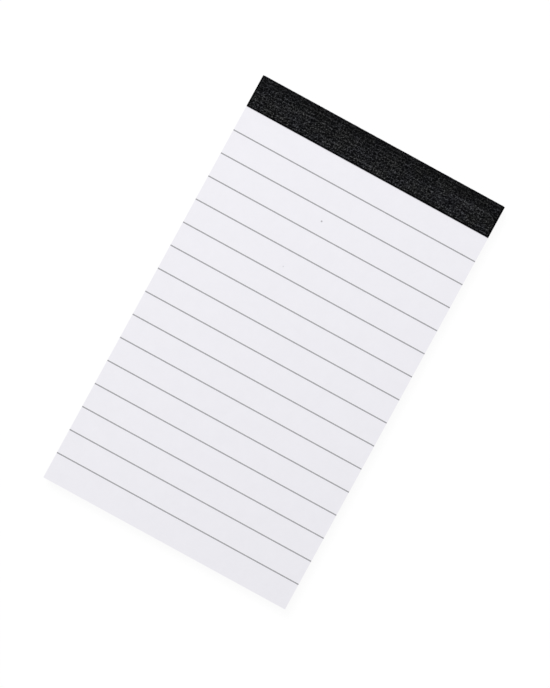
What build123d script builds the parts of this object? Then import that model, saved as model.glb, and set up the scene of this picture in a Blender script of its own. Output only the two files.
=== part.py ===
from build123d import *
import os
from math import floor

# A small memo pad: ruled sheets on a backing board, held along the head by two wire stitches under
# a folded binding tape. It lies flat. X runs across it, +Y points to the taped head and +Z points
# out of the writing face. The origin is in the middle, level with the underside of the tape.
# All sizes are in millimetres.

# The whole pad, with the tape round its head.
pad_width = 76.2
pad_length = 127.0

# The stack: loose sheets, trimmed together, on one board.
sheet_count = 50
sheet_thickness = 0.09
board_thickness = 0.7

# The tape is one strip. Its bands lie on the writing face and on the back of the board.
tape_thickness = 0.22
front_band = 9.85
back_band = 9.85

# The pull of the tape rounds the two arrises of the head.
head_arris = 0.35

# Each stitch is flat wire: a crown on the top sheet, and two legs through the whole stack that are
# turned in towards each other on the back. Depth is from the head edge, inset from the side edge.
wire_width = 0.7
wire_thickness = 0.45
wire_edge_chamfer = 0.1
wire_bend_radius = 0.5
stitch_length = 13.0
stitch_depth = 4.4
stitch_inset = 4.2
clinch_gap = 3.2

# The paper and the board give way round the wire by this much on every side.
wire_clearance = 0.02

# The ruling runs from edge to edge. Its ink sinks into the top sheet.
rule_width = 0.25
rule_pitch = 7.27
first_rule_from_head = 17.34
least_foot_margin = 7.0
ink_depth = 0.03

# Levels, from the underside of the tape up to the writing face.
board_back = tape_thickness
board_face = board_back + board_thickness
writing_face = board_face + sheet_count * sheet_thickness

# Edges of the pad, seen from above.
side_edge = pad_width / 2
head_edge = pad_length / 2
foot_edge = -pad_length / 2
stack_head = head_edge - tape_thickness
stack_length = stack_head - foot_edge
stack_middle = (stack_head + foot_edge) / 2

# The wire's middle line runs half a wire below the writing face and above the back of the board.
stitch_line = head_edge - stitch_depth
crown_level = writing_face - wire_thickness / 2
clinch_level = board_back + wire_thickness / 2
leg_offset = (stitch_length - wire_thickness) / 2
stitch_centre = side_edge - stitch_inset - stitch_length / 2
stitch_centres = {"staple_left": -stitch_centre, "staple_right": stitch_centre}

# The rules start below the tape, and as many follow as the page has room for.
ruled_length = pad_length - first_rule_from_head - least_foot_margin
rule_count = floor(ruled_length / rule_pitch) + 1
rule_places = [
    (0, head_edge - first_rule_from_head - rule_pitch * number)
    for number in range(rule_count)
]

os.makedirs("parts", exist_ok=True)


def stitch_path(centre, tip_gap):
    """The middle line of one stitch, from the tip of its left leg to the tip of its right leg."""
    with BuildLine(Plane.XZ.offset(-stitch_line)) as path:
        FilletPolyline(
            (centre - tip_gap / 2, clinch_level),
            (centre - leg_offset, clinch_level),
            (centre - leg_offset, crown_level),
            (centre + leg_offset, crown_level),
            (centre + leg_offset, clinch_level),
            (centre + tip_gap / 2, clinch_level),
            radius=wire_bend_radius,
        )
    return path.line


def tip_plane(path):
    """The plane across the wire at the start of its path, with the wire's width along Y."""
    return Plane(origin=path @ 0, x_dir=(0, 1, 0), z_dir=path % 0)


# The wire stitches, and with each the space that it takes in the stack.
stitch_spaces = []
for name, centre in stitch_centres.items():
    wire_path = stitch_path(centre, clinch_gap)
    with BuildPart() as staple:
        with BuildSketch(tip_plane(wire_path)) as section:
            Rectangle(wire_width, wire_thickness)
            chamfer(section.vertices(), wire_edge_chamfer)
        sweep(path=wire_path)
    staple.part.label = name
    export_step(staple.part, f"parts/{name}.step")

    space_path = stitch_path(centre, clinch_gap - 2 * wire_clearance)
    with BuildPart() as space:
        with BuildSketch(tip_plane(space_path)):
            Rectangle(wire_width + 2 * wire_clearance, wire_thickness + 2 * wire_clearance)
        sweep(path=space_path)
    stitch_spaces.append(space.part)

# The backing board: flush with the sheets, its back arris at the head rounded by the tape.
with BuildPart() as backing_board:
    with BuildSketch(Plane.XY.offset(board_back)):
        with Locations((0, stack_middle)):
            Rectangle(pad_width, stack_length)
    extrude(amount=board_thickness)
    back_edges = backing_board.edges().filter_by(Axis.X).group_by(Axis.Z)[0]
    fillet(back_edges.sort_by(Axis.Y)[-1], head_arris)
    add(stitch_spaces, mode=Mode.SUBTRACT)
backing_board.part.label = "backing_board"
export_step(backing_board.part, "parts/backing_board.step")

# The sheets, trimmed as one block. The wire passes through them and the ink sinks into the top one.
with BuildPart() as sheet_block:
    with BuildSketch(Plane.XY.offset(board_face)):
        with Locations((0, stack_middle)):
            Rectangle(pad_width, stack_length)
    extrude(amount=writing_face - board_face)
    top_edges = sheet_block.edges().filter_by(Axis.X).group_by(Axis.Z)[-1]
    fillet(top_edges.sort_by(Axis.Y)[-1], head_arris)
    add(stitch_spaces, mode=Mode.SUBTRACT)
    with BuildSketch(Plane.XY.offset(writing_face)):
        with Locations(rule_places):
            Rectangle(pad_width, rule_width)
    extrude(amount=-ink_depth, mode=Mode.SUBTRACT)
sheet_block.part.label = "sheet_block"
export_step(sheet_block.part, "parts/sheet_block.step")

# The printed rules, level with the paper.
with BuildPart() as rule_lines:
    with BuildSketch(Plane.XY.offset(writing_face)):
        with Locations(rule_places):
            Rectangle(pad_width, rule_width)
    extrude(amount=-ink_depth)
rule_lines.part.label = "rule_lines"
export_step(rule_lines.part, "parts/rule_lines.step")

# The binding tape: the middle line of its fold, given the thickness of the strip and run across
# the whole width. Both ends are trimmed flush with the sheets.
with BuildPart() as binding_tape:
    with BuildSketch(Plane.YZ.offset(-side_edge)) as fold:
        with BuildLine() as fold_line:
            FilletPolyline(
                (head_edge - front_band, writing_face + tape_thickness / 2),
                (head_edge - tape_thickness / 2, writing_face + tape_thickness / 2),
                (head_edge - tape_thickness / 2, board_back - tape_thickness / 2),
                (head_edge - back_band, board_back - tape_thickness / 2),
                radius=head_arris + tape_thickness / 2,
            )
        trace(line_width=tape_thickness)
    extrude(amount=pad_width)
binding_tape.part.label = "binding_tape"
export_step(binding_tape.part, "parts/binding_tape.step")
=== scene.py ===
# %% [markdown]
# # A small ruled memo pad
# The pad is a stack of loose sheets on a grey board. Two wire stitches go through the stack near its
# head, and one strip of black binding tape is folded over them, from the front round to the back.
# This lesson dresses the finished construction: it reads every size from the frame, and then makes
# the sheets, the printed rules, the tape and the finishes, one step at a time.

import math

import bpy
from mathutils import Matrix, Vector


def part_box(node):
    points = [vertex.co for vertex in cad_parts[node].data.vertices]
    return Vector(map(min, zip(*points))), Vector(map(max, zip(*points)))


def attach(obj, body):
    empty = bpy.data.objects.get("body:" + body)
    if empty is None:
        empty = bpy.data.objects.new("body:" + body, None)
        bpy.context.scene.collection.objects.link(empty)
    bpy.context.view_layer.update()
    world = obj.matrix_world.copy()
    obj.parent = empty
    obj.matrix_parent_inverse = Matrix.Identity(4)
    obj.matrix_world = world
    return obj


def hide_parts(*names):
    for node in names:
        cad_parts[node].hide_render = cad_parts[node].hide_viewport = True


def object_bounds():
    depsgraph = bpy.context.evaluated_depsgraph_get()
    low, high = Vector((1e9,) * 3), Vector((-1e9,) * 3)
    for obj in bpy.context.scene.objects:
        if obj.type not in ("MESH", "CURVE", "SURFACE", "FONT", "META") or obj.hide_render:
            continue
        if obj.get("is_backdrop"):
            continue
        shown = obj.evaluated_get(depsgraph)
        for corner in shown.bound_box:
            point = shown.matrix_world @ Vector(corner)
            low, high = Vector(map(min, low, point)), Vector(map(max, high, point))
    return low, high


MM = 0.001
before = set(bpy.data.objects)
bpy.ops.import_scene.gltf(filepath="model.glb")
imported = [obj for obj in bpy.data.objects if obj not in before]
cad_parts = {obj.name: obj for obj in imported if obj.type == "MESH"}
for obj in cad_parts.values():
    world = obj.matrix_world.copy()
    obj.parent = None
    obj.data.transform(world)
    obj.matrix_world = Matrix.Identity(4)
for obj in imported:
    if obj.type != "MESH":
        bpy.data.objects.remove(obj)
cad_low, cad_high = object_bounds()
print("nodes in the frame:", ", ".join(sorted(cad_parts)))

# %% [markdown]
# ## Sizes
# Nothing is measured twice. The corners of each solid say how wide the pad is, how high the writing
# face lies, how thick the tape is and how far its bands reach over the sheets.

# %% Read the sizes of the pad
sheets_low, sheets_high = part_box("sheet_block")
tape_low, tape_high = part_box("binding_tape")

pad_width = tape_high.x - tape_low.x
head_edge = tape_high.y
foot_edge = sheets_low.y
stack_head = sheets_high.y
writing_face = sheets_high.z
board_face = sheets_low.z
tape_thickness = head_edge - stack_head
band_depth = tape_high.y - tape_low.y
print(f"pad {pad_width / MM:.1f} by {(head_edge - foot_edge) / MM:.1f} mm")
print(f"tape {tape_thickness / MM:.2f} mm thick, its bands {band_depth / MM:.2f} mm deep")

# %% [markdown]
# The printed rules are thin solids in the frame, so the heights of their long edges along the page
# give both the width of the ink and the place of each rule.

# %% Read the places of the rules
rule_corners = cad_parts["rule_lines"].data.vertices
rule_edges = sorted({round(v.co.y / MM, 3) for v in rule_corners})
rule_count = len(rule_edges) // 2
rule_width = (rule_edges[1] - rule_edges[0]) * MM
rule_pitch = (rule_edges[2] - rule_edges[0]) * MM
lowest_rule = rule_edges[0] * MM + rule_width / 2
print(f"{rule_count} rules, {rule_width / MM:.2f} mm wide, {rule_pitch / MM:.2f} mm apart")

# %% [markdown]
# ## Camera
# The pad is seen from straight above, so its outline is a true rectangle. A long lens keeps the
# perspective weak when the camera goes round it. The distance follows from the size of one pixel of
# the picture on the writing face.

# %% Choose the lens and the distance
frame_width_px = 550
frame_height_px = 688
pad_width_px = 275.4
lens = 100.0
sensor = 36.0

metres_per_px = pad_width / pad_width_px
distance = frame_height_px * metres_per_px * lens / sensor
camera_data = bpy.data.cameras.new("above")
camera_data.lens = lens
camera_data.sensor_width = sensor
print(f"camera {distance / MM:.0f} mm above the page, {metres_per_px / MM:.4f} mm a pixel")

# %% [markdown]
# The pad lies turned clockwise in the picture. Turning the camera the other way about its own line
# of sight gives that turn and leaves the pad square to the frame, which keeps every size simple.

# %% Place the camera above the pad
pad_centre_px = (274.2, 342.1)
pad_turn = math.radians(28.68)

right = (frame_width_px / 2 - pad_centre_px[0]) * metres_per_px
up = (pad_centre_px[1] - frame_height_px / 2) * metres_per_px
camera = bpy.data.objects.new("above", camera_data)
camera.location = (
    right * math.cos(pad_turn) - up * math.sin(pad_turn),
    right * math.sin(pad_turn) + up * math.cos(pad_turn),
    writing_face + distance,
)
camera.rotation_euler = (0, 0, pad_turn)
bpy.context.scene.collection.objects.link(camera)
bpy.context.scene.camera = camera
print(f"picture moved by {right / MM:.2f} mm and {up / MM:.2f} mm from the middle of the pad")

# %% [markdown]
# ## Node helpers
# Shader trees and geometry trees are built from the same few moves: add a node, set its options,
# and give each input either a plain value or another node's output. Two short helpers do that.

# %% Define how a node is added
def feed(tree, target, source):
    """Links an output to an input, or writes a plain value into it."""
    if isinstance(source, bpy.types.NodeSocket):
        tree.links.new(source, target)
    else:
        target.default_value = source


def add_node(tree, kind, inputs, **options):
    """Adds a node with its options set and its named inputs fed."""
    made = tree.nodes.new(kind)
    for name, value in options.items():
        setattr(made, name, value)
    for name, source in inputs.items():
        target = next(s for s in made.inputs if s.name == name and s.enabled)
        feed(tree, target, source)
    return made


print("helpers: feed, add_node")

# %% [markdown]
# A node does one step of arithmetic, so a formula becomes a chain of nodes. Written as calls, the
# chain reads like the formula. Spreading a value from 0 to 1 over another range is so common that it
# gets a name of its own.

# %% Define the arithmetic on numbers
def maths(tree, operation, *terms):
    """One step of arithmetic on numbers."""
    made = tree.nodes.new("ShaderNodeMath")
    made.operation = operation
    for target, source in zip(made.inputs, terms):
        feed(tree, target, source)
    return made.outputs[0]


def spread(tree, value, low, high):
    """Goes from low to high as the value goes from 0 to 1, and no further."""
    inputs = {"Value": value, "To Min": low, "To Max": high}
    return add_node(tree, "ShaderNodeMapRange", inputs).outputs["Result"]


print("helpers: maths, spread")

# %% [markdown]
# ## Light
# White paper shows its true tone only if the light is level. The sky gives about half of it, evenly
# from everywhere. To the camera it is plain white, also where it shows in or through a surface, and
# only as light is it dimmer.

# %% Set the sky
sky_share = 0.45
plain_white = (1.0, 1.0, 1.0, 1.0)


def seen_by_camera(tree):
    """1 for what the camera sees, straight or by way of a surface, and 0 for what gives light."""
    path = add_node(tree, "ShaderNodeLightPath", {}).outputs
    straight_or_mirrored = maths(tree, "MAXIMUM", path["Is Camera Ray"], path["Is Glossy Ray"])
    return maths(tree, "MAXIMUM", straight_or_mirrored, path["Is Transmission Ray"])


world = bpy.data.worlds.new("studio")
bpy.context.scene.world = world
world.use_nodes = True
sky = world.node_tree
sky.nodes.clear()
strength = spread(sky, seen_by_camera(sky), sky_share, 1.0)
white = add_node(sky, "ShaderNodeBackground", {"Color": plain_white, "Strength": strength})
add_node(sky, "ShaderNodeOutputWorld", {"Surface": white.outputs[0]})
bpy.context.scene.view_settings.view_transform = "Standard"
print(f"sky gives {sky_share:.2f} of the light")

# %% [markdown]
# One large soft lamp, above the upper edge of the picture, gives the rest. The page falls off gently
# towards its foot, and the grain of the tape has a bright and a dark side. The lamp's energy is
# worked out from its share, so that on a level surface a colour renders about as it is written.

# %% Hang the soft lamp
lamp_share = 0.54
lamp_height = 1.05
lamp_reach = 0.6
lamp_bearing = math.radians(138)
lamp_size = 0.5

lamp_range = math.hypot(lamp_height, lamp_reach)
lamp_data = bpy.data.lights.new("soft_lamp", "AREA")
lamp_data.size = lamp_size
lamp_data.energy = lamp_share * math.pi**2 * lamp_range**3 / lamp_height
lamp = bpy.data.objects.new("soft_lamp", lamp_data)
lamp.location = (
    lamp_reach * math.cos(lamp_bearing),
    lamp_reach * math.sin(lamp_bearing),
    lamp_height,
)
lamp.rotation_euler = (-lamp.location).to_track_quat("-Z", "Y").to_euler()
bpy.context.scene.collection.objects.link(lamp)
print(f"soft lamp of {lamp_data.energy:.1f} W, {lamp_range:.2f} m away")

# %% [markdown]
# ## Floor
# The pad lies on a plain white floor. One large square is enough, since nothing of it shows but its
# colour and a faint soft shadow.

# %% Lay the floor
floor_half = 3.0
floor_signs = [(-1, -1), (1, -1), (1, 1), (-1, 1)]
floor_corners = [(x * floor_half, y * floor_half, 0.0) for x, y in floor_signs]
floor_mesh = bpy.data.meshes.new("floor")
floor_mesh.from_pydata(floor_corners, [], [(0, 1, 2, 3)])
floor = bpy.data.objects.new("floor", floor_mesh)
bpy.context.scene.collection.objects.link(floor)
floor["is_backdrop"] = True
print(f"floor {2 * floor_half:.0f} m across")

# %% [markdown]
# A white board in even light would still render a little grey, and more light would burn out the
# paper. So what the camera sees of the floor is mostly a glow of its own, mixed with the lit board.
# Every material is begun in the same way, and every pattern asks where on its object it is, so two
# helpers do that.

# %% Define how a material begins
def new_material(name):
    """An empty material and its node tree."""
    material = bpy.data.materials.new(name)
    material.use_nodes = True
    material.node_tree.nodes.clear()
    return material, material.node_tree


def object_places(tree):
    """Places on the object itself, in metres, so a pattern stays put from every side."""
    return add_node(tree, "ShaderNodeTexCoord", {}).outputs["Object"]


print("helpers: new_material, object_places")

# %% [markdown]
# Two more helpers mix surfaces and rise softly from one value to another. The share of the second
# surface may be a node's output, so it can differ from place to place.

# %% Define how surfaces are mixed
def blend_surfaces(tree, share, first, second):
    """Goes from the first surface to the second as the share goes from 0 to 1."""
    blend = add_node(tree, "ShaderNodeMixShader", {"Fac": share})
    tree.links.new(first, blend.inputs[1])
    tree.links.new(second, blend.inputs[2])
    return blend.outputs[0]


def soft_step(tree, value, start, end):
    """Rises smoothly from 0 to 1 while the value goes from start to end."""
    inputs = {"Value": value, "From Min": start, "From Max": end}
    ramp = add_node(tree, "ShaderNodeMapRange", inputs, interpolation_type="SMOOTHSTEP")
    return ramp.outputs["Result"]


print("helpers: blend_surfaces, soft_step")

# %% [markdown]
# Near the pad a share of the lit board stays in the mix, and with it the pad's faint soft shadow.
# Further off the lamp is weaker, so there the glow takes over, and the floor meets the sky without
# a line. Arithmetic on vectors says how far off a place is.

# %% Paint the floor white
board_white = (0.9, 0.9, 0.9, 1.0)
glow_near_pad = 0.91
glow_strength = 1.025
glow_takes_over = (0.12, 0.6)


def vector_maths(tree, operation, *terms):
    """One step of arithmetic on vectors."""
    made = tree.nodes.new("ShaderNodeVectorMath")
    made.operation = operation
    for target, source in zip(made.inputs, terms):
        feed(tree, target, source)
    return next(s for s in made.outputs if s.enabled)


white_board, floor_tree = new_material("white_board")
lit = add_node(floor_tree, "ShaderNodeBsdfDiffuse", {"Color": board_white}).outputs[0]
glow = add_node(floor_tree, "ShaderNodeEmission", {"Strength": glow_strength}).outputs[0]
from_pad = vector_maths(floor_tree, "LENGTH", object_places(floor_tree))
far_off = soft_step(floor_tree, from_pad, *glow_takes_over)
glow_share = spread(floor_tree, far_off, glow_near_pad, 1.0)
seen_glow = maths(floor_tree, "MULTIPLY", seen_by_camera(floor_tree), glow_share)
from_above = blend_surfaces(floor_tree, seen_glow, lit, glow)
print(f"glow of {glow_near_pad:.2f} near the pad, all glow {glow_takes_over[1]:.1f} m away")

# %% [markdown]
# The back of the pad lies on the floor, so it can only be looked at from below. Seen from there the
# floor is clear. It is clear too for light that leaves the back and meets the floor at once, or the
# back would be dark.

# %% Make the floor clear from below
contact_reach = 1.5 * MM

path = add_node(floor_tree, "ShaderNodeLightPath", {}).outputs
at_once = maths(floor_tree, "LESS_THAN", path["Ray Length"], contact_reach)
as_light = maths(floor_tree, "SUBTRACT", 1.0, path["Is Camera Ray"])
under_pad = maths(floor_tree, "MULTIPLY", at_once, as_light)
below = add_node(floor_tree, "ShaderNodeNewGeometry", {}).outputs["Backfacing"]
clear_share = maths(floor_tree, "MAXIMUM", below, under_pad)
clear = add_node(floor_tree, "ShaderNodeBsdfTransparent", {}).outputs[0]
floor_surface = blend_surfaces(floor_tree, clear_share, from_above, clear)
add_node(floor_tree, "ShaderNodeOutputMaterial", {"Surface": floor_surface})
floor_mesh.materials.append(white_board)
print(f"clear from below, and for light within {contact_reach / MM:.1f} mm")

# %% [markdown]
# ## Growing a piece from a geometry tree
# A geometry tree is a recipe: it turns a few named sizes into a mesh. Every recipe here starts with
# its list of inputs. Every one ends by turning repeated copies into real faces, which then get their
# material.

# %% Define how a recipe starts and ends
def new_recipe(name, inputs):
    """A geometry tree with the named inputs. Returns it with what it is given."""
    tree = bpy.data.node_groups.new(name, "GeometryNodeTree")
    tree.interface.new_socket(name="Geometry", in_out="INPUT", socket_type="NodeSocketGeometry")
    tree.interface.new_socket(name="Geometry", in_out="OUTPUT", socket_type="NodeSocketGeometry")
    for label, kind in inputs.items():
        tree.interface.new_socket(name=label, in_out="INPUT", socket_type="NodeSocket" + kind)
    print(f"{name} takes", ", ".join(inputs))
    return tree, tree.nodes.new("NodeGroupInput").outputs


def end_recipe(tree, geometry, material):
    """Ends a tree: real faces instead of copies, with their material."""
    real = add_node(tree, "GeometryNodeRealizeInstances", {"Geometry": geometry}).outputs[0]
    inputs = {"Geometry": real, "Material": material}
    dressed = add_node(tree, "GeometryNodeSetMaterial", inputs).outputs[0]
    add_node(tree, "NodeGroupOutput", {"Geometry": dressed})
    print(f"{tree.name} has {len(tree.nodes)} nodes")


print("helpers: new_recipe, end_recipe")

# %% [markdown]
# The recipe is put on a helper object, its inputs are set, and the result is copied out as a plain
# mesh. The helper goes, so what stays is an ordinary object at the origin with its place in its
# mesh. It can be edited, measured and exported like any other.

# %% Define how a piece is grown
def grow(name, tree, values, start=None):
    """Runs a recipe with the given values and keeps the result as a plain mesh object."""
    helper = bpy.data.objects.new("helper", start or bpy.data.meshes.new("helper"))
    bpy.context.scene.collection.objects.link(helper)
    recipe = helper.modifiers.new("recipe", "NODES")
    recipe.node_group = tree
    for item in tree.interface.items_tree:
        if item.in_out == "INPUT" and item.name in values:
            recipe[item.identifier] = values[item.name]
    grown = helper.evaluated_get(bpy.context.evaluated_depsgraph_get())
    mesh = bpy.data.meshes.new_from_object(grown)
    mesh.name = name
    bpy.data.objects.remove(helper)
    piece = bpy.data.objects.new(name, mesh)
    bpy.context.scene.collection.objects.link(piece)
    triangles = sum(len(face.vertices) - 2 for face in mesh.polygons)
    print(f"{name}: {triangles} triangles")
    return piece


print("helper: grow")

# %% [markdown]
# ## Paper
# Writing paper is nearly white, very matt and never quite even: the pulp settles in faint clouds a
# few millimetres across, and single fibres give it a fine tooth. A photograph of paper would repeat
# and blur. Two layers of noise, placed in millimetres, stay sharp at any distance.

# %% Mix the face of the paper
paper_face = (0.886, 0.877, 0.923)
cloud_size = 3.5 * MM
cloud_tones = (0.975, 1.025)
tooth_size = 0.16 * MM
tooth_tones = (0.965, 1.035)


def noise(tree, places, size, detail=2.0, roughness=0.5):
    """A noise value about 0.5 whose blotches are about the given size across."""
    inputs = {"Vector": places, "Scale": 1.0 / size, "Detail": detail, "Roughness": roughness}
    return add_node(tree, "ShaderNodeTexNoise", inputs).outputs[0]


writing_paper, paper_tree = new_material("writing_paper")
paper_places = object_places(paper_tree)
clouds = noise(paper_tree, paper_places, cloud_size, detail=5.0, roughness=0.65)
tooth = noise(paper_tree, paper_places, tooth_size)
cloudy = spread(paper_tree, clouds, *cloud_tones)
toothed = spread(paper_tree, tooth, *tooth_tones)
face_tone = maths(paper_tree, "MULTIPLY", cloudy, toothed)
print(f"clouds of {cloud_size / MM:.1f} mm, tooth of {tooth_size / MM:.2f} mm")

# %% [markdown]
# Two specks lie in the top sheet, where a dark fibre got into the pulp. Each one is a spot whose
# tone depends only on the distance to its middle, so it stays sharp and needs no mesh.

# %% Leave two specks in the pulp
specks = [
    {"place": (-4.53 * MM, 35.60 * MM, writing_face), "size": 0.34 * MM, "depth": 0.50},
    {"place": (-7.86 * MM, 19.55 * MM, writing_face), "size": 0.27 * MM, "depth": 0.20},
]
speck_heart = 0.4

for speck in specks:
    away = vector_maths(paper_tree, "DISTANCE", paper_places, speck["place"])
    clean = soft_step(paper_tree, away, speck["size"] * speck_heart, speck["size"])
    speck_tone = spread(paper_tree, clean, 1.0 - speck["depth"], 1.0)
    face_tone = maths(paper_tree, "MULTIPLY", face_tone, speck_tone)
print(f"{len(specks)} specks in the top sheet")

# %% [markdown]
# The cut edges of the stack are painted darker than its face: painted shade for the light that sinks
# in between the sheets. A nick in the knife leaves a line through all of them, so that noise is
# stretched upwards. Each sheet also has a tone of its own, which its mesh will carry.

# %% Mix the cut edges of the sheets
# Painted shade: the cut edges are darker than the face of the paper
paper_cut = (0.80, 0.79, 0.81)
knife_line = 0.35 * MM
stretched_upwards = (1.0, 1.0, 0.02)
knife_tones = (0.93, 1.07)
sheet_tones = (0.84, 1.08)

knife_places = vector_maths(paper_tree, "MULTIPLY", paper_places, stretched_upwards)
knife = noise(paper_tree, knife_places, knife_line, detail=3.0)
own_tone = add_node(paper_tree, "ShaderNodeAttribute", {}, attribute_name="sheet_tone")
nicked = spread(paper_tree, knife, *knife_tones)
layered = spread(paper_tree, own_tone.outputs["Fac"], *sheet_tones)
cut_tone = maths(paper_tree, "MULTIPLY", nicked, layered)
print(f"knife lines of {knife_line / MM:.2f} mm")

# %% [markdown]
# Every material here ends in the same way: a colour, a fine relief that catches the light, and the
# looks of the surface, such as how rough it is. One helper writes that ending. Two more scale a
# colour and mix two colours.

# %% Define how colours are mixed and a material ends
def scaled(tree, vector, factor):
    """A colour or a vector times a number."""
    made = add_node(tree, "ShaderNodeVectorMath", {"Scale": factor}, operation="SCALE")
    feed(tree, made.inputs[0], vector)
    return made.outputs[0]


def mix_colours(tree, factor, first, second):
    """Goes from the first colour to the second as the factor goes from 0 to 1."""
    inputs = {"Factor": factor, "A": first, "B": second}
    made = add_node(tree, "ShaderNodeMix", inputs, data_type="RGBA")
    return next(s for s in made.outputs if s.enabled)


def end_material(tree, colour, relief, strength, depth, looks):
    """Ends a material: its colour, a fine relief and the looks of its surface."""
    inputs = {"Height": relief, "Strength": strength, "Distance": depth}
    bump = add_node(tree, "ShaderNodeBump", inputs).outputs["Normal"]
    inputs = {"Base Color": colour, "Normal": bump, **looks}
    surface = add_node(tree, "ShaderNodeBsdfPrincipled", inputs).outputs[0]
    add_node(tree, "ShaderNodeOutputMaterial", {"Surface": surface})


print("helpers: scaled, mix_colours, end_material")

# %% [markdown]
# One material does both face and cut. Where the surface faces up or down it takes the look of the
# face, and where it faces sideways that of the cut. So the sheets need no second material and no
# marked faces, and the look stays right on every one of them.

# %% Join the face and the cut edges
facing_sideways = 0.4
facing_up = 0.6


def parts_of(tree, vector):
    """The three numbers of a vector, as X, Y and Z."""
    return add_node(tree, "ShaderNodeSeparateXYZ", {"Vector": vector}).outputs


normal = add_node(paper_tree, "ShaderNodeNewGeometry", {}).outputs["True Normal"]
facing = maths(paper_tree, "ABSOLUTE", parts_of(paper_tree, normal)["Z"])
level = soft_step(paper_tree, facing, facing_sideways, facing_up)
face = scaled(paper_tree, paper_face, face_tone)
cut = scaled(paper_tree, paper_cut, cut_tone)
paper_colour = mix_colours(paper_tree, level, cut, face)
matt = {"Roughness": 0.9, "Specular IOR Level": 0.2}
end_material(
    paper_tree, paper_colour, relief=tooth, strength=0.25, depth=0.02 * MM, looks=matt
)
print("mixed", writing_paper.name)

# %% [markdown]
# ## The sheets
# From the side a pad shows that it is made of sheets: the knife trims them together, but they shift
# and spring back by a few hundredths of a millimetre. Modelling each one by hand would be slow and
# would look too neat, so a recipe stacks them.

# %% Name the inputs of the stack
stack_recipe, for_stack = new_recipe(
    "stack_of_sheets",
    {
        "Width": "Float",
        "Length": "Float",
        "Sheets": "Int",
        "Sheet Thickness": "Float",
        "Air Gap": "Float",
        "Trim Scatter": "Float",
        "Arris Radius": "Float",
        "Start": "Vector",
        "Left Stitch": "Object",
        "Right Stitch": "Object",
        "Seed": "Int",
        "Paper": "Material",
    },
)

# %% [markdown]
# Both the sheets and the rules are copies at equal steps along a line, so a helper makes such rows.
# Another keeps a number on every copy or point, for a later step or a material to read.

# %% Define how copies are laid out and marked
def make_vector(tree, **parts):
    """A vector made of the numbers that are given as X, Y and Z."""
    return add_node(tree, "ShaderNodeCombineXYZ", parts).outputs[0]


def repeat_along_line(tree, piece, count, start, step):
    """Copies of a piece at equal steps along a straight line."""
    inputs = {"Count": count, "Start Location": start, "Offset": step}
    line = add_node(tree, "GeometryNodeMeshLine", inputs, mode="OFFSET").outputs[0]
    inputs = {"Points": line, "Instance": piece}
    return add_node(tree, "GeometryNodeInstanceOnPoints", inputs).outputs[0]


def store(tree, geometry, name, value, domain):
    """Keeps a number under a name, for every copy or for every point."""
    inputs = {"Geometry": geometry, "Name": name, "Value": value}
    options = {"data_type": "FLOAT", "domain": domain}
    return add_node(tree, "GeometryNodeStoreNamedAttribute", inputs, **options).outputs[0]


print("helpers: make_vector, repeat_along_line, store")

# %% [markdown]
# The recipe puts one thin slab on each point of an upright line. Every slab keeps its number, which
# later decides how far its edges move and how pale it is.

# %% Stack the slabs
slab_grid = {"Vertices X": 9, "Vertices Y": 15, "Vertices Z": 2}

paper_only = maths(stack_recipe, "SUBTRACT", for_stack["Sheet Thickness"], for_stack["Air Gap"])
slab_size = make_vector(stack_recipe, X=for_stack["Width"], Y=for_stack["Length"], Z=paper_only)
slab = add_node(stack_recipe, "GeometryNodeMeshCube", {"Size": slab_size, **slab_grid})
step = make_vector(stack_recipe, Z=for_stack["Sheet Thickness"])
slabs = repeat_along_line(
    stack_recipe, slab.outputs["Mesh"], for_stack["Sheets"], for_stack["Start"], step
)
number = add_node(stack_recipe, "GeometryNodeInputIndex", {}).outputs[0]
numbered = store(stack_recipe, slabs, "sheet_number", number, "INSTANCE")
stack = add_node(stack_recipe, "GeometryNodeRealizeInstances", {"Geometry": numbered}).outputs[0]
print("slabs numbered from the board upwards")

# %% [markdown]
# A point lies on a free edge if it is at the very end of its slab. The sides are marked with -1 and
# 1, so that one rule can push both of them outwards, and the foot is marked with 1. The head isn't
# free: there the tape holds the sheets together.

# %% Find the free edges
nearly_half = 0.499

inputs = {"Name": "sheet_number"}
sheet = add_node(
    stack_recipe, "GeometryNodeInputNamedAttribute", inputs, data_type="FLOAT"
).outputs[0]
spot = add_node(stack_recipe, "GeometryNodeInputPosition", {}).outputs[0]
point_x, point_y, point_z = parts_of(stack_recipe, spot)
side_line = maths(stack_recipe, "MULTIPLY", for_stack["Width"], nearly_half)
beside = maths(stack_recipe, "GREATER_THAN", maths(stack_recipe, "ABSOLUTE", point_x), side_line)
side = maths(stack_recipe, "MULTIPLY", maths(stack_recipe, "SIGN", point_x), beside)
start = parts_of(stack_recipe, for_stack["Start"])
foot_line = maths(stack_recipe, "MULTIPLY_ADD", for_stack["Length"], -nearly_half, start["Y"])
foot = maths(stack_recipe, "LESS_THAN", point_y, foot_line)
print("free edges: both sides and the foot")

# %% [markdown]
# At the head the tape is drawn tight over the upper edge of the stack and rounds it. How round it is
# shows in the frame, from where the top of the solid ends. Each point at the head goes back by what
# a round edge lacks of a square one at its height above the line where the round begins.

# %% Round the head under the tape
on_top = 0.001 * MM

sheet_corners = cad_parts["sheet_block"].data.vertices
top_ends = max(v.co.y for v in sheet_corners if v.co.z > writing_face - on_top)
arris_radius = stack_head - top_ends

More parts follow.
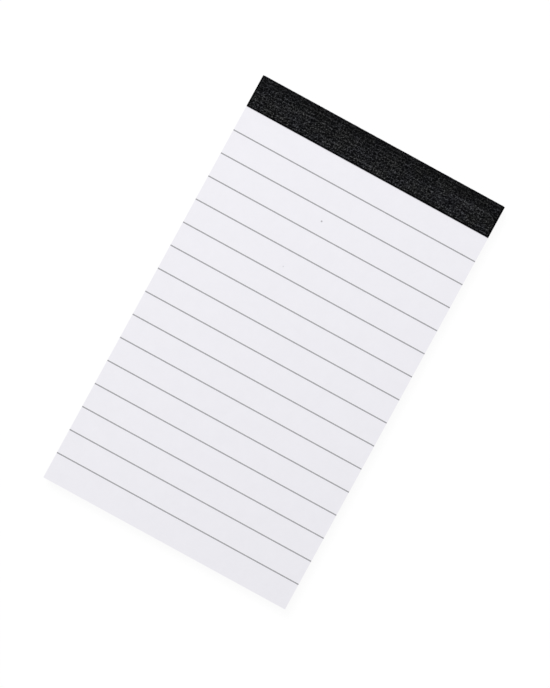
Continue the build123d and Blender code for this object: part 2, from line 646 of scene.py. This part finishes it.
radius = for_stack["Arris Radius"]
head_line = maths(stack_recipe, "MULTIPLY_ADD", for_stack["Length"], nearly_half, start["Y"])
at_head = maths(stack_recipe, "GREATER_THAN", point_y, head_line)
to_top = maths(stack_recipe, "SUBTRACT", for_stack["Sheets"], 0.5)
top = maths(stack_recipe, "MULTIPLY_ADD", to_top, for_stack["Sheet Thickness"], start["Z"])
round_begins = maths(stack_recipe, "SUBTRACT", top, radius)
rise = maths(stack_recipe, "SUBTRACT", point_z, round_begins)
above = maths(stack_recipe, "MAXIMUM", rise, 0.0)
squares = [maths(stack_recipe, "MULTIPLY", length, length) for length in (radius, above)]
reach = maths(stack_recipe, "SQRT", maths(stack_recipe, "SUBTRACT", *squares))
lacking = maths(stack_recipe, "SUBTRACT", reach, radius)
set_back = maths(stack_recipe, "MULTIPLY", lacking, at_head)
print(f"the head is rounded by {arris_radius / MM:.2f} mm")

# %% [markdown]
# Two kinds of chance are at work in a stack. One is different for every sheet. The other changes
# slowly from sheet to sheet, as when a pad has been knocked square by hand. Both give the same
# number each time they are asked with the same key, so the pad looks the same in every render.

# %% Define the two kinds of chance
def own_number(tree, key):
    """A random number from 0 to 1 that belongs to the key."""
    made = add_node(tree, "ShaderNodeTexWhiteNoise", {"W": key}, noise_dimensions="1D")
    return made.outputs["Value"]


def slow_wave(tree, key, scale, detail):
    """A random number that changes slowly as the key goes up."""
    inputs = {"W": key, "Scale": scale, "Detail": detail}
    return add_node(tree, "ShaderNodeTexNoise", inputs, noise_dimensions="1D").outputs[0]


print("helpers: own_number, slow_wave")

# %% [markdown]
# Every free edge moves in or out by its own small amount. Part of it is the sheet's own, and a
# larger part comes from the slow waves. Each edge asks with keys of its own, further apart than a
# pad has sheets, so no two look alike. Another seed moves all the keys, and gives another pad.

# %% Move every edge by its own amount
wave_scale = 0.17
wave_share = 2.0
keys_apart = 100.0


def edge_move(edge, first_key):
    """How far an edge of each sheet moves along its own direction."""
    key = maths(stack_recipe, "ADD", sheet, first_key)
    key = maths(stack_recipe, "MULTIPLY_ADD", edge, keys_apart, key)
    key = maths(stack_recipe, "ADD", key, for_stack["Seed"])
    wave = slow_wave(stack_recipe, key, wave_scale, detail=1.0)
    both = maths(stack_recipe, "MULTIPLY_ADD", wave, wave_share, own_number(stack_recipe, key))
    centred = maths(stack_recipe, "SUBTRACT", both, (1.0 + wave_share) / 2)
    amount = maths(stack_recipe, "MULTIPLY", centred, for_stack["Trim Scatter"])
    return maths(stack_recipe, "MULTIPLY", amount, edge)


moved_along = maths(stack_recipe, "ADD", edge_move(foot, keys_apart), set_back)
moves = make_vector(stack_recipe, X=edge_move(side, 0.0), Y=moved_along)
inputs = {"Geometry": stack, "Offset": moves}
trimmed = add_node(stack_recipe, "GeometryNodeSetPosition", inputs).outputs[0]
print(f"slow waves {1 / wave_scale:.0f} sheets long")

# %% [markdown]
# Paper comes in batches, and every sheet lets the light in a little differently. So the tone is
# partly each sheet's own and partly shared by a bunch of neighbours. Noise rarely leaves the range
# from 0.3 to 0.7, so a soft step over that swing makes full use of it.

# %% Give each sheet its own tone
bunch_scale = 0.31
single_share = 0.4
noise_swing = (0.3, 0.7)

tone_key = maths(stack_recipe, "ADD", sheet, for_stack["Seed"])
bunch = slow_wave(stack_recipe, tone_key, bunch_scale, detail=2.0)
bunched = soft_step(stack_recipe, bunch, *noise_swing)
shared = maths(stack_recipe, "MULTIPLY", bunched, 1.0 - single_share)
alone = own_number(stack_recipe, tone_key)
tone = maths(stack_recipe, "MULTIPLY_ADD", alone, single_share, shared)
toned = store(stack_recipe, trimmed, "sheet_tone", tone, "POINT")
print(f"{single_share:.0%} of the tone is each sheet's own")

# %% [markdown]
# The stitching machine drives its wire through the whole stack. Holes could be drawn for every
# sheet, but the wire is the better tool: what it fills is taken away from the slabs. Its solid comes
# from the frame as loose triangles, so their corners are joined first. The walls of the holes would
# keep the smooth shading of the wire, which is taken off at the end.

# %% Pierce the sheets for the stitches
same_place = 0.001 * MM

pierced = toned
for stitch in ("Left Stitch", "Right Stitch"):
    loose = add_node(stack_recipe, "GeometryNodeObjectInfo", {"Object": for_stack[stitch]})
    inputs = {"Geometry": loose.outputs["Geometry"], "Distance": same_place}
    wire = add_node(stack_recipe, "GeometryNodeMergeByDistance", inputs).outputs[0]
    inputs = {"Mesh 1": pierced, "Mesh 2": wire}
    options = {"operation": "DIFFERENCE", "solver": "EXACT"}
    pierced = add_node(stack_recipe, "GeometryNodeMeshBoolean", inputs, **options).outputs["Mesh"]
inputs = {"Geometry": pierced, "Name": "custom_normal"}
plain = add_node(stack_recipe, "GeometryNodeRemoveAttribute", inputs).outputs[0]
inputs = {"Geometry": plain, "Shade Smooth": False}
flat = add_node(stack_recipe, "GeometryNodeSetShadeSmooth", inputs).outputs[0]
end_recipe(stack_recipe, flat, for_stack["Paper"])

# %% [markdown]
# Now the recipe runs with the sizes of the pad. The stack replaces the plain block of the frame. A
# hair of air between the slabs keeps their edges apart, so each sheet shows as a line of its own.

# %% Grow the stack of sheets
sheet_count = 50
air_gap = 0.008 * MM
trim_scatter = 0.03 * MM

sheet_thickness = (writing_face - board_face) / sheet_count
stack_middle = (stack_head + foot_edge) / 2
sheets = grow(
    "sheets",
    stack_recipe,
    {
        "Width": pad_width,
        "Length": stack_head - foot_edge,
        "Sheets": sheet_count,
        "Sheet Thickness": sheet_thickness,
        "Air Gap": air_gap,
        "Trim Scatter": trim_scatter,
        "Arris Radius": arris_radius,
        "Start": (0.0, stack_middle, board_face + sheet_thickness / 2),
        "Left Stitch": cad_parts["staple_left"],
        "Right Stitch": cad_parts["staple_right"],
        "Seed": 3,
        "Paper": writing_paper,
    },
)
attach(sheets, "root")
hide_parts("sheet_block")

# %% [markdown]
# ## The printed rules
# The rules run from edge to edge and are printed in a thin grey ink, which covers the fibres a
# little unevenly. A flat grey would look like plastic, so patches of noise vary it, and it keeps the
# tooth of the paper underneath.

# %% Mix the ink
ink_grey = (0.36, 0.36, 0.375)
patch_size = 0.5 * MM
patch_tones = (0.85, 1.15)

rule_grey, ink_tree = new_material("rule_grey")
ink_places = object_places(ink_tree)
patches = spread(ink_tree, noise(ink_tree, ink_places, patch_size), *patch_tones)
ink_colour = scaled(ink_tree, ink_grey, patches)
ink_tooth = noise(ink_tree, ink_places, tooth_size)
dry_ink = {"Roughness": 0.8, "Specular IOR Level": 0.2}
end_material(
    ink_tree, ink_colour, relief=ink_tooth, strength=0.2, depth=0.02 * MM, looks=dry_ink
)
print("mixed", rule_grey.name)

# %% [markdown]
# Under a glass the edges of a rule are slightly ragged, where the ink creeps along the fibres. A
# recipe repeats one thin strip down the page and then lets its edges wander by a few hundredths of a
# millimetre. That is less work than drawing each rule, and all of them follow if the pitch changes.

# %% Name the inputs of the rules
rule_recipe, for_rules = new_recipe(
    "printed_rules",
    {
        "Length": "Float",
        "Ink Width": "Float",
        "Ink Depth": "Float",
        "Rules": "Int",
        "Pitch": "Float",
        "Start": "Vector",
        "Raggedness": "Float",
        "Seed": "Float",
        "Ink": "Material",
    },
)

# %% [markdown]
# A rule is a long thin block, cut into enough short lengths for its edges to wander. Only its places
# across the line move, by a noise that is read where each point lies. The seed moves the reading up
# through the noise, so another seed gives other edges.

# %% Repeat the rule and let its edges wander
rule_grid = {"Vertices X": 260, "Vertices Y": 2, "Vertices Z": 2}
creep_size = 0.3 * MM

rule_size = make_vector(
    rule_recipe, X=for_rules["Length"], Y=for_rules["Ink Width"], Z=for_rules["Ink Depth"]
)
one_rule = add_node(rule_recipe, "GeometryNodeMeshCube", {"Size": rule_size, **rule_grid})
step = make_vector(rule_recipe, Y=for_rules["Pitch"])
printed = repeat_along_line(
    rule_recipe, one_rule.outputs["Mesh"], for_rules["Rules"], for_rules["Start"], step
)
real = add_node(rule_recipe, "GeometryNodeRealizeInstances", {"Geometry": printed}).outputs[0]
spot = add_node(rule_recipe, "GeometryNodeInputPosition", {}).outputs[0]
further_up = maths(rule_recipe, "MULTIPLY", for_rules["Seed"], creep_size)
read_at = vector_maths(rule_recipe, "ADD", spot, make_vector(rule_recipe, Z=further_up))
creep = maths(rule_recipe, "SUBTRACT", noise(rule_recipe, read_at, creep_size), 0.5)
wander = make_vector(rule_recipe, Y=maths(rule_recipe, "MULTIPLY", creep, for_rules["Raggedness"]))
inputs = {"Geometry": real, "Offset": wander}
ragged = add_node(rule_recipe, "GeometryNodeSetPosition", inputs).outputs[0]
end_recipe(rule_recipe, ragged, for_rules["Ink"])

# %% [markdown]
# The printed width is a little more than the width of the solid, because ink spreads as it dries. It
# also stands a few thousandths of a millimetre proud of the paper, so that the two never share a
# face.

# %% Print the rules
ink_spread = 0.10 * MM
ink_stands_proud = 0.004 * MM
ink_depth = 0.02 * MM
raggedness = 0.06 * MM

rules = grow(
    "rules",
    rule_recipe,
    {
        "Length": pad_width - 2 * trim_scatter,
        "Ink Width": rule_width + ink_spread,
        "Ink Depth": ink_depth,
        "Rules": rule_count,
        "Pitch": rule_pitch,
        "Start": (0.0, lowest_rule, writing_face + ink_stands_proud - ink_depth / 2),
        "Raggedness": raggedness,
        "Seed": 2.0,
        "Ink": rule_grey,
    },
)
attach(rules, "root")
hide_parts("rule_lines")

# %% [markdown]
# ## The binding tape
# The tape is a coarse cloth with a black coat. It is one straight strip. A binder lays it on the
# front, draws it tight round the head and rubs it down on the back. The model is made in the same
# order: first the flat strip, then the grain, and last the fold, so the grain runs unbroken round
# the head. The strip is as long as the way along its outer face: two bands, the height of the pad
# and two rounded corners.

# %% Work out the length of the strip
tape_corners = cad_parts["binding_tape"].data.vertices
fold_begins = max(v.co.y for v in tape_corners if v.co.z > tape_high.z - on_top)
outer_radius = head_edge - fold_begins
flat_stretches = 2 * (band_depth - outer_radius) + (tape_high.z - tape_low.z - 2 * outer_radius)
strip_length = flat_stretches + math.pi * outer_radius
print(f"strip {strip_length / MM:.2f} mm long, folded at a radius of {outer_radius / MM:.2f} mm")

# %% [markdown]
# The flat strip is a closed slab. Its outer face has to carry the grain, so it is a fine grid of
# points, row by row from one end of the strip to the other.

# %% Lay out the outer face of the strip
grid_step = 0.15 * MM

steps_across = round(pad_width / grid_step)
steps_along = round(strip_length / grid_step)
row = steps_across + 1
strip_points = [
    (pad_width * (i / steps_across - 0.5), strip_length * j / steps_along, 0.0)
    for j in range(steps_along + 1)
    for i in range(row)
]
strip_faces = [
    (j * row + i, j * row + i + 1, (j + 1) * row + i + 1, (j + 1) * row + i)
    for j in range(steps_along)
    for i in range(steps_across)
]
print(f"outer face of {steps_across} by {steps_along} squares")

# %% [markdown]
# The face that is glued down needs no grid, only as many steps along the strip as the fold does. Its
# long faces, a wall down each side and one face at each end close the slab, and all of them share
# the points of the outer face, so there is no seam.

# %% Close the strip
under = len(strip_points)
strip_points += [
    (pad_width * half, strip_length * j / steps_along, -tape_thickness)
    for j in range(steps_along + 1)
    for half in (-0.5, 0.5)
]
for j in range(steps_along):
    near, far = j * row, (j + 1) * row
    left_under, right_under = under + 2 * j, under + 2 * j + 1
    strip_faces += [
        (right_under, left_under, left_under + 2, right_under + 2),
        (near, far, left_under + 2, left_under),
        (far + steps_across, near + steps_across, right_under, right_under + 2),
    ]
first_row = tuple(range(steps_across, -1, -1))
last_row = tuple(steps_along * row + i for i in range(row))
last_under = under + 2 * steps_along
strip_faces += [first_row + (under, under + 1), last_row + (last_under + 1, last_under)]

strip = bpy.data.meshes.new("flat_strip")
strip.from_pydata(strip_points, [], strip_faces)
print(f"flat strip of {len(strip.polygons)} faces")

# %% [markdown]
# ## The grain of the tape
# Threads show through the coat: rows along the tape a little over a millimetre apart, fainter
# threads across them, dark pits in between. A bump in the material alone would leave the outline of
# the tape smooth, so a recipe presses the grain into the mesh. These are all its sizes.

# %% Name the inputs of the tape
tape_recipe, for_tape = new_recipe(
    "grained_and_folded",
    {
        "Fold Line": "Object",
        "Fold Radius": "Float",
        "Strip Width": "Float",
        "Strip Length": "Float",
        "Thickness": "Float",
        "Thread Pitch": "Vector",
        "Thread Height": "Float",
        "Pressed Edge": "Float",
        "Wear And Sheen Length": "Float",
        "Stitch Middle": "Float",
        "Stitch Reach": "Float",
        "Stitch Along": "Float",
        "Stitch Rise": "Float",
        "Wire Width": "Float",
        "Seed": "Float",
        "Tape": "Material",
    },
)

# %% [markdown]
# Every later step asks where a point lies on the flat strip: how far across and along, how far from
# the nearest edge, and whether it is on the outer face. Close to the cut edges the knife has pressed
# the tape flat, so there the grain fades out.

# %% Find each point's place on the strip
knife_share = 0.3

spot = add_node(tape_recipe, "GeometryNodeInputPosition", {}).outputs[0]
across, along, depth = parts_of(tape_recipe, spot)
half_width = maths(tape_recipe, "MULTIPLY", for_tape["Strip Width"], 0.5)
to_side = maths(tape_recipe, "SUBTRACT", half_width, maths(tape_recipe, "ABSOLUTE", across))
to_far_end = maths(tape_recipe, "SUBTRACT", for_tape["Strip Length"], along)
to_end = maths(tape_recipe, "MINIMUM", along, to_far_end)
to_edge = maths(tape_recipe, "MINIMUM", to_side, to_end)
knife_edge = maths(tape_recipe, "MULTIPLY", for_tape["Pressed Edge"], knife_share)
inside = soft_step(tape_recipe, to_edge, knife_edge, for_tape["Pressed Edge"])
half_down = maths(tape_recipe, "MULTIPLY", for_tape["Thickness"], -0.5)
outer = maths(tape_recipe, "GREATER_THAN", depth, half_down)
print("known for each point: across, along, to_edge, inside, outer")

# %% [markdown]
# No thread is straight. So the places are first counted in threads, one unit from each to the next,
# and this grid is then bent by a soft noise. The rows along the tape stray less than the others.

# %% Bend the grid of the threads
drift_scale = 0.6
drift_reach = (1.8, 0.9, 0.0)

flat_place = make_vector(tape_recipe, X=across, Y=along, Z=for_tape["Seed"])
counted = vector_maths(tape_recipe, "DIVIDE", flat_place, for_tape["Thread Pitch"])
inputs = {"Vector": counted, "Scale": drift_scale, "Detail": 2.0}
drift = add_node(tape_recipe, "ShaderNodeTexNoise", inputs).outputs["Color"]
bent = vector_maths(tape_recipe, "MULTIPLY_ADD", drift, drift_reach, counted)
bent_across, bent_along, _ = parts_of(tape_recipe, bent)
print(f"threads stray by up to {drift_reach[0]:.1f} and {drift_reach[1]:.1f} of their pitch")

# %% [markdown]
# In section a row of threads is a cosine. Along its length each thread swells and thins, as
# hand-spun yarn does, which a second noise decides. Where rows cross, the higher thread shows.

# %% Raise the threads
swell_range = (0.4, 1.0)
slubs_along = (0.5, 1.0, 1.0)
slubs_across = (1.0, 0.7, 1.0)
weft_height = 0.7


def thread_rows(crosswise, slub_shape):
    """Threads one unit apart, rounded in section, that swell and thin along their length."""
    wave = maths(tape_recipe, "COSINE", maths(tape_recipe, "MULTIPLY", crosswise, math.tau))
    rounded = maths(tape_recipe, "MULTIPLY_ADD", wave, 0.5, 0.5)
    lengthwise = vector_maths(tape_recipe, "MULTIPLY", counted, slub_shape)
    slub_noise = noise(tape_recipe, lengthwise, 1.0, detail=1.0)
    slubs = soft_step(tape_recipe, slub_noise, *noise_swing)
    return maths(tape_recipe, "MULTIPLY", spread(tape_recipe, slubs, *swell_range), rounded)


warp = thread_rows(bent_along, slubs_along)
weft = maths(tape_recipe, "MULTIPLY", thread_rows(bent_across, slubs_across), weft_height)
threads = maths(tape_recipe, "MAXIMUM", warp, weft)
print(f"threads across the tape stand {weft_height:.1f} as high as those along it")

# %% [markdown]
# The coat isn't as regular as the cloth. As it dries it shrinks into a net of wrinkles, which the
# edges of a cell pattern give, and it breaks up into short strokes. Both are laid over the threads.

# %% Wrinkle and break up the coat
wrinkle_scale = 1.5
wrinkle_reach = 0.3
thread_share = 0.6
wrinkle_share = 0.5
stroke_size = 1 / 3.8
stroke_swing = (0.3, 0.65)
net_gain = 1.6

inputs = {"Vector": bent, "Scale": wrinkle_scale, "Randomness": 1.0}
cells = add_node(tape_recipe, "ShaderNodeTexVoronoi", inputs, feature="DISTANCE_TO_EDGE")
off_wrinkle = soft_step(tape_recipe, cells.outputs["Distance"], 0.0, wrinkle_reach)
wrinkles = maths(tape_recipe, "SUBTRACT", 1.0, off_wrinkle)
wrinkled = maths(tape_recipe, "MULTIPLY", wrinkles, wrinkle_share)
net = maths(tape_recipe, "MULTIPLY_ADD", threads, thread_share, wrinkled)
stroke_noise = noise(tape_recipe, counted, stroke_size, detail=2.0, roughness=0.7)
strokes = soft_step(tape_recipe, stroke_noise, *stroke_swing)
raised = maths(tape_recipe, "MULTIPLY", maths(tape_recipe, "MULTIPLY", net, strokes), net_gain)
grain = maths(tape_recipe, "MULTIPLY", maths(tape_recipe, "MINIMUM", raised, 1.0), inside)
print(f"strokes {stroke_size:.2f} of a thread's pitch long")

# %% [markdown]
# Over the crowns of the two stitches the tape bulges by the thickness of a hair, which a finger
# feels before an eye sees it. The bulge depends on the distance to the wire's middle line. The two
# stitches lie the same on both sides of the pad, so one rule serves both.

# %% Bulge the tape over the stitches
wire_core = 0.4

from_middle = maths(
    tape_recipe, "SUBTRACT", maths(tape_recipe, "ABSOLUTE", across), for_tape["Stitch Middle"]
)
past_end = maths(
    tape_recipe, "SUBTRACT", maths(tape_recipe, "ABSOLUTE", from_middle), for_tape["Stitch Reach"]
)
past_end = maths(tape_recipe, "MAXIMUM", past_end, 0.0)
aside = maths(tape_recipe, "SUBTRACT", along, for_tape["Stitch Along"])
sum_of_squares = maths(
    tape_recipe, "MULTIPLY_ADD", aside, aside, maths(tape_recipe, "MULTIPLY", past_end, past_end)
)
from_wire = maths(tape_recipe, "SQRT", sum_of_squares)
core = maths(tape_recipe, "MULTIPLY", for_tape["Wire Width"], wire_core)
off_wire = soft_step(tape_recipe, from_wire, core, for_tape["Wire Width"])
over_wire = maths(tape_recipe, "SUBTRACT", 1.0, off_wire)
print("the bulge ends one wire's width from the middle of the wire")

# %% [markdown]
# Now every point gets its height. The grain is pressed inwards, so its crests lie where the outside
# of the solid is and the tape grows no thicker. Only the bulge goes outwards. The glued face stays
# as it was cut.

# %% Set the height of each point
below_crest = maths(tape_recipe, "SUBTRACT", grain, 1.0)
pressed = maths(tape_recipe, "MULTIPLY", below_crest, for_tape["Thread Height"])
lift = maths(tape_recipe, "MULTIPLY_ADD", over_wire, for_tape["Stitch Rise"], pressed)
height = maths(tape_recipe, "MULTIPLY_ADD", lift, outer, depth)
print("heights set, still on the flat strip")

# %% [markdown]
# The fold needs no rule of its own. A line runs round the head, with its two corners rounded. Each
# point of the strip goes to the place on that line that is as far along, and its height is measured
# square to the line. Bending the finished mesh by hand would stretch the grain at the corners.

# %% Fold the strip round the head
corner_steps = 12

fold = add_node(tape_recipe, "GeometryNodeObjectInfo", {"Object": for_tape["Fold Line"]})
inputs = {
    "Curve": fold.outputs["Geometry"],
    "Count": corner_steps,
    "Radius": for_tape["Fold Radius"],
}
rounded_line = add_node(tape_recipe, "GeometryNodeFilletCurve", inputs, mode="POLY").outputs[0]
inputs = {"Curves": rounded_line, "Length": along}
reached = add_node(tape_recipe, "GeometryNodeSampleCurve", inputs, mode="LENGTH").outputs
outward = vector_maths(tape_recipe, "CROSS_PRODUCT", (1.0, 0.0, 0.0), reached["Tangent"])
sideways = make_vector(tape_recipe, X=across)
on_line = vector_maths(tape_recipe, "ADD", reached["Position"], sideways)
place = vector_maths(tape_recipe, "ADD", on_line, scaled(tape_recipe, outward, height))
print(f"each corner of the fold has {corner_steps} steps")

# %% [markdown]
# Where a thread stands out, the coat is painted paler. Part of this is wear, where hands and other
# pads have rubbed off the black, and part is a painted highlight on the crests. The paling is
# strongest near the free edges of the bands, weaker close to the fold, and a little stronger again
# over the stitches. The mesh carries this number on each point, and the coat's material reads it.

# %% Mark the wear and painted highlight, and end the recipe
wear_and_sheen_at_edge = 0.86
wear_and_sheen_at_fold = 0.56
wear_and_sheen_power = 3.0
wear_and_sheen_over_wire = 1.15

# Paler crests: partly wear, partly painted highlight, strongest near the free edges of the bands
towards_fold = maths(tape_recipe, "DIVIDE", to_end, for_tape["Wear And Sheen Length"])
kept_black = maths(tape_recipe, "POWER", towards_fold, wear_and_sheen_power)
rubbing_and_sheen = spread(tape_recipe, kept_black, wear_and_sheen_at_edge, wear_and_sheen_at_fold)
worn_and_sheen = maths(tape_recipe, "MULTIPLY", grain, rubbing_and_sheen)
worn_and_sheen = maths(tape_recipe, "MULTIPLY", worn_and_sheen, spread(tape_recipe, over_wire, 1.0, wear_and_sheen_over_wire))
crest = maths(tape_recipe, "MULTIPLY", worn_and_sheen, outer)
marked = store(tape_recipe, for_tape["Geometry"], "crest", crest, "POINT")
inputs = {"Geometry": marked, "Position": place}
folded = add_node(tape_recipe, "GeometryNodeSetPosition", inputs).outputs[0]
end_recipe(tape_recipe, folded, for_tape["Tape"])

# %% [markdown]
# ## The black coat
# The coat is black and nearly matt. In the pits and along the cut edges it keeps its black. On the
# crests it is painted grey, thread by thread: partly rubbed wear, and partly a painted highlight
# where the crests would catch the lamp. The number on the mesh says where. Fine fibres, too small
# for the mesh, break up the edges of each pale spot.

# %% Paint the crests grey, as wear and painted highlight
coat_black = (0.0008, 0.0008, 0.0011, 1.0)
rubbed_and_sheen_grey = (0.099, 0.099, 0.100, 1.0)
rubbed_and_sheen_power = 2.9
fibre_size = 0.28 * MM
fibre_tones = (0.2, 1.8)
sharp_swing = (0.35, 0.65)

black_coat, coat_tree = new_material("black_coat")
coat_places = object_places(coat_tree)
crests = add_node(coat_tree, "ShaderNodeAttribute", {}, attribute_name="crest").outputs["Fac"]
fibres = noise(coat_tree, coat_places, fibre_size, detail=3.0)
frayed = spread(coat_tree, soft_step(coat_tree, fibres, *sharp_swing), *fibre_tones)
# Painted highlight and wear: the crests are painted paler grey than the black coat
rubbed_and_sheen = maths(coat_tree, "POWER", crests, rubbed_and_sheen_power)
rubbed_and_sheen = maths(coat_tree, "MULTIPLY", rubbed_and_sheen, frayed)
coat_colour = mix_colours(coat_tree, rubbed_and_sheen, coat_black, rubbed_and_sheen_grey)
print(f"fibres of {fibre_size / MM:.2f} mm on the rubbed threads")

# %% [markdown]
# The dye isn't quite neutral: a little colder here, a little warmer there. A slow noise mixes two
# faint casts, and the coat is multiplied by the result. It has hardly any shine.

# %% Tint the coat and end its material
cold_cast = (0.96, 0.98, 1.08, 1.0)
warm_cast = (1.00, 1.01, 1.00, 1.0)
cast_size = 4.0 * MM

casts = soft_step(coat_tree, noise(coat_tree, coat_places, cast_size), *sharp_swing)
cast = mix_colours(coat_tree, casts, cold_cast, warm_cast)
tinted = vector_maths(coat_tree, "MULTIPLY", coat_colour, cast)
dull = {"Roughness": 0.55, "Specular IOR Level": 0.015}
end_material(coat_tree, tinted, relief=fibres, strength=0.6, depth=0.05 * MM, looks=dull)
print("mixed", black_coat.name)

# %% [markdown]
# ## Folding the tape
# The fold line has four corners, read from the box of the solid: from the free edge on the front, up
# over the head, down behind it and along the back to the other free edge.

# %% Draw the fold line
fold_corners = [
    (tape_low.y, tape_high.z),
    (head_edge, tape_high.z),
    (head_edge, tape_low.z),
    (tape_low.y, tape_low.z),
]
fold_data = bpy.data.curves.new("fold_line", "CURVE")
fold_data.dimensions = "3D"
fold_spline = fold_data.splines.new("POLY")
fold_spline.points.add(len(fold_corners) - 1)
for point, (y, z) in zip(fold_spline.points, fold_corners):
    point.co = (0.0, y, z, 1.0)
fold_line = bpy.data.objects.new("fold_line", fold_data)
bpy.context.scene.collection.objects.link(fold_line)
print(f"fold line with {len(fold_corners)} corners")

# %% [markdown]
# The stitches lie under the tape, so their box in the frame says where it has to bulge. When the
# tape is grown, the fold line has done its work and goes.

# %% Grow the tape
wire_low, wire_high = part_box("staple_right")

tape = grow(
    "tape",
    tape_recipe,
    {
        "Fold Line": fold_line,
        "Fold Radius": outer_radius,
        "Strip Width": pad_width,
        "Strip Length": strip_length,
        "Thickness": tape_thickness,
        "Thread Pitch": (1.3 * MM, 1.06 * MM, 1.0),
        "Thread Height": 0.06 * MM,
        "Pressed Edge": 0.6 * MM,
        "Wear And Sheen Length": 10.0 * MM,
        "Stitch Middle": (wire_low.x + wire_high.x) / 2,
        "Stitch Reach": (wire_high.x - wire_low.x) / 2,
        "Stitch Along": (wire_low.y + wire_high.y) / 2 - tape_low.y,
        "Stitch Rise": 0.04 * MM,
        "Wire Width": wire_high.y - wire_low.y,
        "Seed": 5.0,
        "Tape": black_coat,
    },
    start=strip,
)
bpy.data.objects.remove(fold_line)
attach(tape, "root")
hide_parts("binding_tape")

# %% [markdown]
# ## The backing board
# The back is greyboard: waste paper, pulped and pressed. It has no colour of its own but that of its
# mixture, a warm grey with darker and paler fibres that lie mostly one way. The solid from the frame
# has the right shape, so it stays and only gets its finish.

# %% Mix the pulp of the board
board_grey = (0.30, 0.275, 0.24)
along_the_fibres = (0.35, 1.0, 1.0)
board_fibre_size = 0.5 * MM
board_fibre_tones = (0.72, 1.28)
pulp_size = 6.0 * MM
pulp_tones = (0.93, 1.07)

greyboard, board_tree = new_material("greyboard")
board_places = object_places(board_tree)
stretched = vector_maths(board_tree, "MULTIPLY", board_places, along_the_fibres)
board_fibres = noise(board_tree, stretched, board_fibre_size, detail=4.0, roughness=0.6)
pulp = noise(board_tree, board_places, pulp_size, detail=3.0)
board_tone = maths(
    board_tree,
    "MULTIPLY",
    spread(board_tree, board_fibres, *board_fibre_tones),
    spread(board_tree, pulp, *pulp_tones),
)
print(f"board fibres of {board_fibre_size / MM:.1f} mm in pulp of {pulp_size / MM:.0f} mm")

# %% [markdown]
# Now and then a fleck of print is left in the pulp. A cell pattern has one middle in each cell. Most
# cells stay empty, and in the others a small dark spot is drawn round the middle.

# %% Add the flecks
fleck_spacing = 1.7 * MM
empty_cells = 0.72
fleck_from, fleck_to = 0.05, 0.16
fleck_depth = 0.5

inputs = {"Vector": stretched, "Scale": 1 / fleck_spacing}
flecks = add_node(board_tree, "ShaderNodeTexVoronoi", inputs).outputs
lot = add_node(board_tree, "ShaderNodeSeparateColor", {"Color": flecks["Color"]}).outputs[0]
rare = maths(board_tree, "GREATER_THAN", lot, empty_cells)
off_fleck = soft_step(board_tree, flecks["Distance"], fleck_from, fleck_to)
near_middle = maths(board_tree, "SUBTRACT", 1.0, off_fleck)
fleck = maths(board_tree, "MULTIPLY", near_middle, rare)
flecked = maths(board_tree, "SUBTRACT", 1.0, maths(board_tree, "MULTIPLY", fleck, fleck_depth))
flecked_tone = maths(board_tree, "MULTIPLY", board_tone, flecked)
print(f"cells of {fleck_spacing / MM:.1f} mm, {empty_cells:.0%} of them empty")

# %% [markdown]
# The board is raw, so it hardly shines. A solid of the frame keeps its mesh and only changes its
# material. A helper does that, since the stitches will need it too.

# %% Dress the board
def dress(node_name, material):
    """Gives a solid of the frame its finish."""
    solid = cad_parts[node_name]
    solid.data.materials.clear()
    solid.data.materials.append(material)
    print("dressed", node_name)


board_colour = scaled(board_tree, board_grey, flecked_tone)
raw_board = {"Roughness": 0.92, "Specular IOR Level": 0.2}
end_material(
    board_tree, board_colour, relief=board_fibres, strength=0.35, depth=0.06 * MM, looks=raw_board
)
dress("backing_board", greyboard)

# %% [markdown]
# ## The wire stitches
# The stitches are drawn steel wire. They are hidden under the tape, but a cut-away or an exploded
# view would show them, so they get a finish too: bright metal with the fine lines of the die.

# %% Mix the wire and dress the stitches
steel = (0.62, 0.61, 0.60)
die_line = 0.06 * MM
die_tones = (0.85, 1.1)

drawn_wire, wire_tree = new_material("drawn_wire")
wire_places = object_places(wire_tree)
die_lines = noise(wire_tree, wire_places, die_line)
wire_colour = scaled(wire_tree, steel, spread(wire_tree, die_lines, *die_tones))
bright = {"Metallic": 1.0, "Roughness": 0.35}
end_material(
    wire_tree, wire_colour, relief=die_lines, strength=0.2, depth=0.01 * MM, looks=bright
)
for stitch in ("staple_left", "staple_right"):
    dress(stitch, drawn_wire)

# %% [markdown]
# ## Compare the sizes
# The dressed pad has to be the size of its construction. The difference between the two boxes is
# printed, axis by axis.

# %% Write the sizes and finish
visual_low, visual_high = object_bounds()
growth = [(v - c) / MM for v, c in zip(visual_high - visual_low, cad_high - cad_low)]
print("visual box minus frame box, mm:", ", ".join(f"{g:.3f}" for g in growth))
